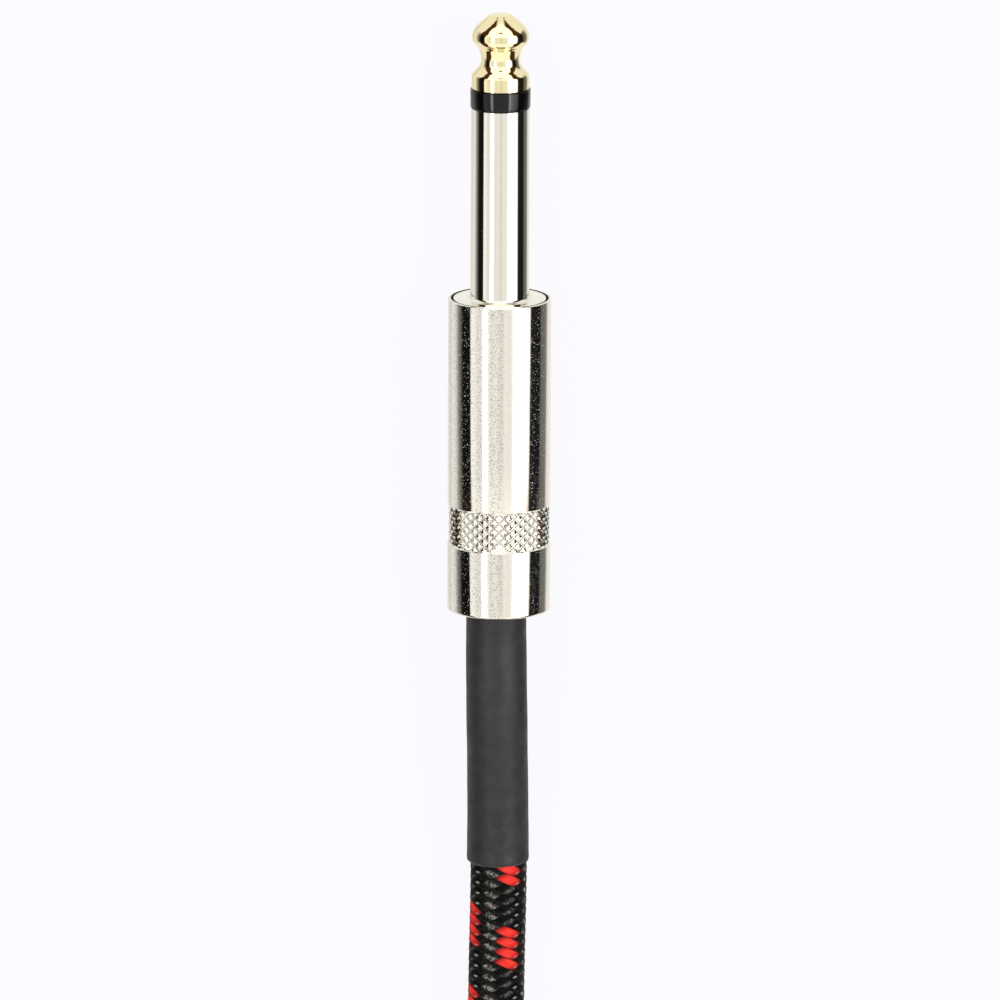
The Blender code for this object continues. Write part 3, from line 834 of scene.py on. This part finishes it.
def make_plug(side):
    seat = SEATS[side]
    root, own = "root", []

    def piece(name, profile, slot, mat, body=root, **more):
        obj = lathe(f"{side}_{name}", profile, body, slot, mat, seat, **more)
        own.append(obj)
        return obj

    def solid(name, part, slot, mat, body=root, smooth=30.0):
        obj = new_object(f"{side}_{name}", *part, body, slot, [mat], (f"{side}_{name}",), smooth)
        own.append(obj)
        return obj

    tip = [(r, TIP_APEX - d) for r, d in spline(TIP_OUTLINE)]
    tip = [(max(r, 0.0), s) for r, s in tip]
    tip += [(3.11, TIP_BACK + 0.06), (3.05, TIP_BACK), (1.1, TIP_BACK)]
    tip += [(1.1, TIP_BACK + 3.75), (0.0, TIP_BACK + 3.75)]
    piece("tip_contact", tip, "gold_plate", M["gold"], n=128, closed=False, smooth=38.0)
    piece(
        "tip_rod",
        [(0.0, 26.4), (0.92, 26.4), (1.0, 26.3), (1.0, -10.0), (1.55, -10.0), (1.6, -10.08),
         (1.5, -10.4), (1.2, -10.57), (0.0, -10.6)],
        "rod_brass", M["brass"], n=48, closed=False,
    )
    piece(
        "tip_insulator",
        fillet([(3.24, 23.00, 0.07, 3), (3.24, 21.00, 0.07, 3), (1.1, 21.00), (1.1, 23.00)]),
        "black_insulator", M["ring"], n=128,
    )
    piece("rod_insulator", [(2.0, 20.90), (2.0, -8.4), (1.1, -8.4), (1.1, 20.90)],
          "natural_nylon", M["nylon"], n=48)
    solid("plug_body", body_part(seat), "nickel_plate", M["nickel"])

    plate = lathe_mesh([(4.15, -7.3), (4.15, -7.9), (3.0, -7.9), (3.0, -7.3)], 64, True, seat)
    arm = box_part((-1.4, 3.02, -22.9), (1.4, 3.62, -7.5), seat)
    solid("ground_lug", join_parts([plate, arm, clamp_part(seat)]), "tinned_lug", M["tin"])
    piece("lug_washer", [(2.8, -8.55), (2.8, -9.35), (1.1, -9.35), (1.1, -8.55)],
          "fibre_washer", M["fibre"], n=48)
    ring = lathe_mesh([(2.4, -9.45), (2.4, -9.95), (1.1, -9.95), (1.1, -9.45)], 48, True, seat)
    tag = box_part((-0.9, -2.35, -15.2), (0.9, -1.85, -9.6), seat)
    solid("tip_lug", join_parts([ring, tag]), "tinned_lug", M["tin"])
    piece("barrel_liner", [(4.52, -11.0), (4.52, -32.3), (4.30, -32.3), (4.30, -11.0)],
          "clear_liner", M["liner"], body=f"{side}_liner", n=64)
    solid("barrel", barrel_part(seat), "nickel_barrel", M["shell"], body=f"{side}_barrel", smooth=26.0)
    # painted shade: the front recess's walls are painted near black and dull, for the dark of the gap where little
    # light comes out of it
    own[-1].data.materials.append(M["shade"])
    for face in own[-1].data.polygons:
        centre = [c / MM for c in face.center]
        r = math.hypot(centre[0] - seat[0], centre[2] - seat[2])
        if 5.0 < r < 5.262 and -1.4 < centre[1] - seat[1] < -0.004:
            face.material_index = 1

    # heat shrink: one skin out and one in, its rear end rolled round and slightly flared
    def aside(s):
        """The cord's end sits a little to one side in the barrel's rear hole."""
        return -0.26 * (1.0 - ease((-34.0 - s) / 27.0))

    rows = []
    steps = 150
    for k in range(steps + 1):
        s = SHRINK_FRONT + (SHRINK_END - SHRINK_FRONT) * k / steps
        rows.append(s)
    centre = [(seat[0] + aside(s), seat[1] + s, shrink_height(s)) for s in rows]
    lengths = np.array(rows[0] - np.array(rows))
    total = lengths[-1]

    def skin(a, at):
        lip = 0.0
        left = total - at
        if left < 0.34:
            lip -= 0.34 - math.sqrt(max(0.34 ** 2 - (0.34 - left) ** 2, 0.0))
        lip += 0.03 * math.exp(-((left - 0.6) / 0.5) ** 2)
        waves = 0.012 * np.sin(2 * np.pi * (2 * a + at / 17.0)) + 0.010 * math.sin(at * 0.9)
        return waves * (1.0 if left > 0.5 else 0.3) + lip

    outer_v, outer_f, _ = tube_mesh(centre, lengths, lambda at: 3.25 + 0.07 * at / 32.0, lambda at: 96, skin, caps=False)
    inner_v, inner_f, _ = tube_mesh(
        centre, lengths, lambda at: 2.96, lambda at: 96, lambda a, at: 0.0 * a, caps=False
    )
    count = len(outer_v)
    faces = list(outer_f) + [tuple(count + i for i in reversed(f)) for f in inner_f]
    for k in range(96):
        j = (k + 1) % 96
        faces.append((k, count + k, count + j, j))
        a, b = count - 96 + k, count - 96 + j
        faces.append((a, b, count + b, count + a))
    solid("heat_shrink", (outer_v + inner_v, faces), "heat_shrink", M["shrink"], smooth=50.0)

    jacket = [(seat[0] + aside(s), seat[1] + s, shrink_height(s))
              for s in np.linspace(-29.9, SHRINK_END, 60)]
    solid("cord_jacket_end", tube_part(jacket, 2.8, 32), "cord_braid", M["rubber"], smooth=50.0)
    piece("inner_jacket", [(0.0, -20.0), (2.25, -20.0), (2.4, -20.12), (2.4, -29.7), (0.0, -29.7)],
          "inner_jacket", M["rubber"], n=48, closed=False)
    piece("dielectric", [(0.0, -15.6), (1.05, -15.6), (1.1, -15.66), (1.1, -19.9), (0.0, -19.9)],
          "dielectric", M["dielectric"], n=32, closed=False)

    def wire(points):
        line = spline(points, 8)
        return [(seat[0] + x, seat[1] + s, seat[2] - d) for x, d, s in line]

    def strands(count, turn, depth):
        return lambda a, at: depth * np.abs(np.sin(np.pi * (count * a + at / turn))) - depth

    core = wire([(0, -1.0, -11.2), (0, -1.0, -12.2), (0, -1.0, -13.2), (0, -0.85, -14.0),
                 (0, -0.35, -14.8), (0, -0.1, -15.5)])
    solid("conductor", tube_part(core, 0.35, 36, strands(7, 1.1, 0.05)), "copper", M["copper"], smooth=60.0)
    tail = wire([(0, 2.1, -14.9), (0, 2.1, -16.2), (0, 2.1, -17.6), (0, 1.95, -18.6),
                 (0, 1.75, -19.3), (0, 1.7, -19.9)])
    solid("shield_pigtail", tube_part(tail, 0.4, 40, strands(8, 0.8, 0.06)), "copper", M["copper"], smooth=60.0)

    def bead(name, down, top, bottom, inner, outer):
        length = top - bottom
        bulge = [(inner + (outer - inner) * math.sin(math.pi * (0.04 + 0.92 * k / 12)) ** 0.8, top - length * k / 12)
                 for k in range(13)]
        piece(name, bulge + [(inner, bottom), (inner, top)], "solder", M["solder"], n=32,
              offset=(0.0, -down), smooth=40.0)

    bead("tip_solder", -1.0, -11.3, -13.0, 0.45, 0.78)
    bead("ground_solder", 2.1, -15.1, -17.3, 0.52, 0.85)
    return own


near_plug = make_plug("near")
far_plug = make_plug("far")


# ------------------------------------------------------------------ strap round the coil
def strap_loop(low, high, radius, steps):
    (x0, y0), (x1, y1) = low, high
    out = []
    for (cx, cy), start in (
        ((x1 - radius, y1 - radius), 90), ((x1 - radius, y0 + radius), 0),
        ((x0 + radius, y0 + radius), -90), ((x0 + radius, y1 - radius), -180),
    ):
        for k in range(steps + 1):
            a = math.radians(start - 90 * k / steps)
            out.append(((cx + radius * math.cos(a)), (cy + radius * math.sin(a))))
    return out


def strap_part():
    """A band round the bundle, its overlapping end a second layer on the top."""
    def dense_loop(points, step):
        p = np.array(points + points[:1])
        seg = np.linalg.norm(np.diff(p, axis=0), axis=1)
        run = np.concatenate([[0], np.cumsum(seg)])
        n = int(run[-1] / step)
        at = np.linspace(0, run[-1], n, endpoint=False)
        return np.stack([np.interp(at, run, p[:, 0]), np.interp(at, run, p[:, 1])], 1)

    inner = dense_loop(strap_loop((20.2, 1.17), (47.0, 23.95), 3.0, 10), 0.7)
    outer = dense_loop(strap_loop((19.3, 0.27), (47.9, 24.85), 3.9, 10), 0.7)
    n = min(len(inner), len(outer))
    def even(p, n):
        q = np.vstack([p, p[:1]])
        seg = np.linalg.norm(np.diff(q, axis=0), axis=1)
        run = np.concatenate([[0], np.cumsum(seg)])
        at = np.linspace(0, run[-1], n, endpoint=False)
        return np.stack([np.interp(at, run, q[:, 0]), np.interp(at, run, q[:, 1])], 1)
    inner, outer = even(inner, n), even(outer, n)
    t = math.radians(TIE_ANGLE)
    radial, tangent = (math.cos(t), math.sin(t)), (-math.sin(t), math.cos(t))
    def world(p, w):
        return (
            COIL_CENTRE[0] + p[0] * radial[0] + w * tangent[0],
            COIL_CENTRE[1] + p[0] * radial[1] + w * tangent[1],
            p[1],
        )
    widths = [-7.9, -7.6, -4.0, 0.0, 4.0, 7.6, 7.9]
    # one layer of tape all round, and a second one from the top down the outer side
    double = [bool(p[0] > 29.0 and p[1] > 7.5) for p in outer]
    rows = []
    for k in range(n):
        last = k - 1
        if double[k] != double[last]:
            for share, layers in ((0.50, double[last]), (0.58, double[k])):
                rows.append((inner[last] + (inner[k] - inner[last]) * share,
                             outer[last] + (outer[k] - outer[last]) * share, layers))
        rows.append((inner[k], outer[k], double[k]))
    n = len(rows)
    verts, faces = [], []
    for low, high, layers in rows:
        d = (low - high) / max(np.linalg.norm(low - high), 1e-6)
        for w in widths:
            squeeze = 0.12 if abs(w) > 7.7 else 0.0
            verts.append(world(high + d * (squeeze + (0.0 if layers else 0.42)), w))
        for w in widths:
            verts.append(world(low, w))
    m = len(widths)
    for k in range(n):
        a, b = 2 * m * k, 2 * m * ((k + 1) % n)
        for i in range(m - 1):
            faces.append((a + i, a + i + 1, b + i + 1, b + i))
            faces.append((a + m + i, b + m + i, b + m + i + 1, a + m + i + 1))
        faces.append((a, b, b + m, a + m))
        faces.append((a + m - 1, a + 2 * m - 1, b + 2 * m - 1, b + m - 1))
    return verts, faces


fabric = Nodes("strap_fabric")
fuzz = fabric.noise(fabric.place(), 5200.0, 4.0, 0.75)
fabric.set(Base_Color=fabric.mix(fuzz, (0.004, 0.004, 0.0045), (0.020, 0.020, 0.022)), Roughness=0.92)
fabric.set(Sheen_Weight=0.05, Sheen_Roughness=0.5, Specular_IOR_Level=0.15)
fabric.bump(fuzz, 0.9, 0.0004)
strap = new_object("coil_strap", *strap_part(), "root", "strap_fabric", [fabric.mat], ("coil_strap",), 40.0)

for obj in (cord, strap, *far_plug):
    obj.visible_glossy = False       # they lie outside the picture and stay out of its reflections

# ------------------------------------------------------------------ floor, world and picture
floor_mesh = bpy.data.meshes.new("floor")
floor_mesh.from_pydata([(-3, -3, 0), (3, -3, 0), (3, 3, 0), (-3, 3, 0)], [], [(0, 1, 2, 3)])
floor = bpy.data.objects.new("floor", floor_mesh)
scene.collection.objects.link(floor)
paper = Nodes("floor_paper")
paper.set(Base_Color=(0.03, 0.03, 0.03), Roughness=0.95, Specular_IOR_Level=0.0)
paper.set(Emission_Color=(0.972, 0.964, 1.0), Emission_Strength=0.955)
floor_mesh.materials.append(paper.mat)
floor.visible_glossy = False

world = bpy.data.worlds.new("studio")
scene.world = world
world.use_nodes = True
tree = world.node_tree
tree.nodes.clear()


class WorldNodes(Nodes):
    def __init__(self, tree):
        self.tree = tree


W = WorldNodes(tree)
direction = tree.nodes.new("ShaderNodeTexCoord").outputs["Generated"]
split = tree.nodes.new("ShaderNodeSeparateXYZ")
tree.links.new(direction, split.inputs[0])
dx, dy, dz = split.outputs
side_angle = W.math("DEGREES", W.math("ARCTAN2", dx, dz))
# light against the angle from straight up, in the plane across the plug
BANDS = [
    (-180, 0.95), (-160, 0.88), (-145, 0.72), (-136, 0.78), (-127, 0.90), (-114, 0.75),
    (-109, 0.50), (-105, 0.30), (-99, 0.16), (-94, 0.08), (-90.5, 0.008), (-68.8, 0.006),
    (-66.4, 1.05), (-57, 1.0), (-50, 0.84), (-41, 0.84), (-38, 1.1), (-36, 7.0), (-30, 7.0),
    (-26.5, 1.1), (-19, 0.84), (-7, 0.92), (0, 0.80), (6, 0.79), (13, 0.93), (20, 0.88),
    (28, 0.95), (32, 1.6), (35, 8.0), (38.5, 8.0), (42, 4.6), (54, 2.9), (63, 2.3), (69, 1.3),
    (71.6, 0.9), (73.6, 0.015), (101, 0.01), (106.5, 0.13), (123, 0.19), (127, 0.24), (134, 0.78),
    (150, 0.90), (180, 0.95),
]
TOP_LEVEL = 8.0


def half_ramp(start, points):
    """The light over the half turn from start, as a colour ramp."""
    node = tree.nodes.new("ShaderNodeValToRGB")
    tree.links.new(W.span(side_angle, start, start + 180.0), node.inputs[0])
    band = node.color_ramp
    while len(band.elements) > 1:
        band.elements.remove(band.elements[-1])
    for k, (angle, level) in enumerate(points):
        where = (angle - start) / 180.0
        element = band.elements[0] if k == 0 else band.elements.new(where)
        element.position = where
        element.color = (level / TOP_LEVEL, level / TOP_LEVEL, level / TOP_LEVEL, 1.0)
    return node.outputs[0]


left = half_ramp(-180.0, [point for point in BANDS if point[0] <= 0])
right = half_ramp(0.0, [point for point in BANDS if point[0] >= 0])
across = W.math("MULTIPLY", W.lerp(W.math("GREATER_THAN", side_angle, 0.0), left, right), TOP_LEVEL)

# ahead of the tip and behind the plug: a bright room over a dark horizon and a light table
height = W.math("DEGREES", W.math("ARCSINE", W.math("MINIMUM", W.math("MAXIMUM", dz, -1.0), 1.0)))
swing = W.math("DEGREES", W.math("ARCTAN2", W.math("ABSOLUTE", dx), W.math("ABSOLUTE", dy)))
ahead = W.math("GREATER_THAN", dy, 0.0)
top_edge = W.math("ADD", W.span(swing, 15.0, 31.0, 4.0, 6.5), W.span(swing, 31.0, 48.0, 0.0, 16.5))


def between(value, a, b, soft):
    """1 between a and b, which may be sockets, with soft edges."""
    rise = W.math("MULTIPLY_ADD", W.math("SUBTRACT", value, a), 1.0 / soft, 0.5, clamp=True)
    fall = W.math("MULTIPLY_ADD", W.math("SUBTRACT", b, value), 1.0 / soft, 0.5, clamp=True)
    return W.math("MULTIPLY", rise, fall)


horizon = W.math("MULTIPLY", between(height, -6.5, top_edge, 2.5), W.span(swing, 9.0, 15.0))
over = W.span(height, 0.0, 6.0, 0.92, W.lerp(ahead, 1.15, 1.55), smooth=True)
spot_ahead = W.math("MULTIPLY", W.math("MULTIPLY", between(height, 26.0, 36.0, 3.0), between(swing, -1.0, 8.0, 3.0)), ahead)
spot_back = W.math(
    "MULTIPLY", W.math("MULTIPLY", between(height, -2.0, 20.0, 5.0), between(swing, -1.0, 12.0, 4.0)),
    W.math("SUBTRACT", 1.0, ahead),
)
dim = W.math("MAXIMUM", horizon, W.math("MAXIMUM", spot_ahead, spot_back))
lengthways = W.lerp(dim, over, 0.06)
tilt_away = W.math("DEGREES", W.math("ARCSINE", W.math("MINIMUM", W.math("ABSOLUTE", dy), 1.0)))
ends = W.span(tilt_away, 20.0, 31.0, 0.0, 1.0, smooth=True)
level = W.lerp(ends, across, lengthways)
tint = W.mix(W.math("MULTIPLY", ends, dim), (1.0, 0.99, 0.965), (1.0, 0.50, 0.20))
light = tree.nodes.new("ShaderNodeBackground")
tree.links.new(tint, light.inputs["Color"])
tree.links.new(level, light.inputs["Strength"])
sky = tree.nodes.new("ShaderNodeBackground")
sky.inputs["Color"].default_value = (0.974, 0.966, 1.0, 1.0)
pick = tree.nodes.new("ShaderNodeMixShader")
tree.links.new(tree.nodes.new("ShaderNodeLightPath").outputs["Is Camera Ray"], pick.inputs[0])
tree.links.new(light.outputs[0], pick.inputs[1])
tree.links.new(sky.outputs[0], pick.inputs[2])
out = tree.nodes.new("ShaderNodeOutputWorld")
tree.links.new(pick.outputs[0], out.inputs["Surface"])

scene.view_settings.view_transform = "Standard"
scene.view_settings.look = "None"
scene.view_settings.exposure = 0.0
scene.view_settings.gamma = 1.0
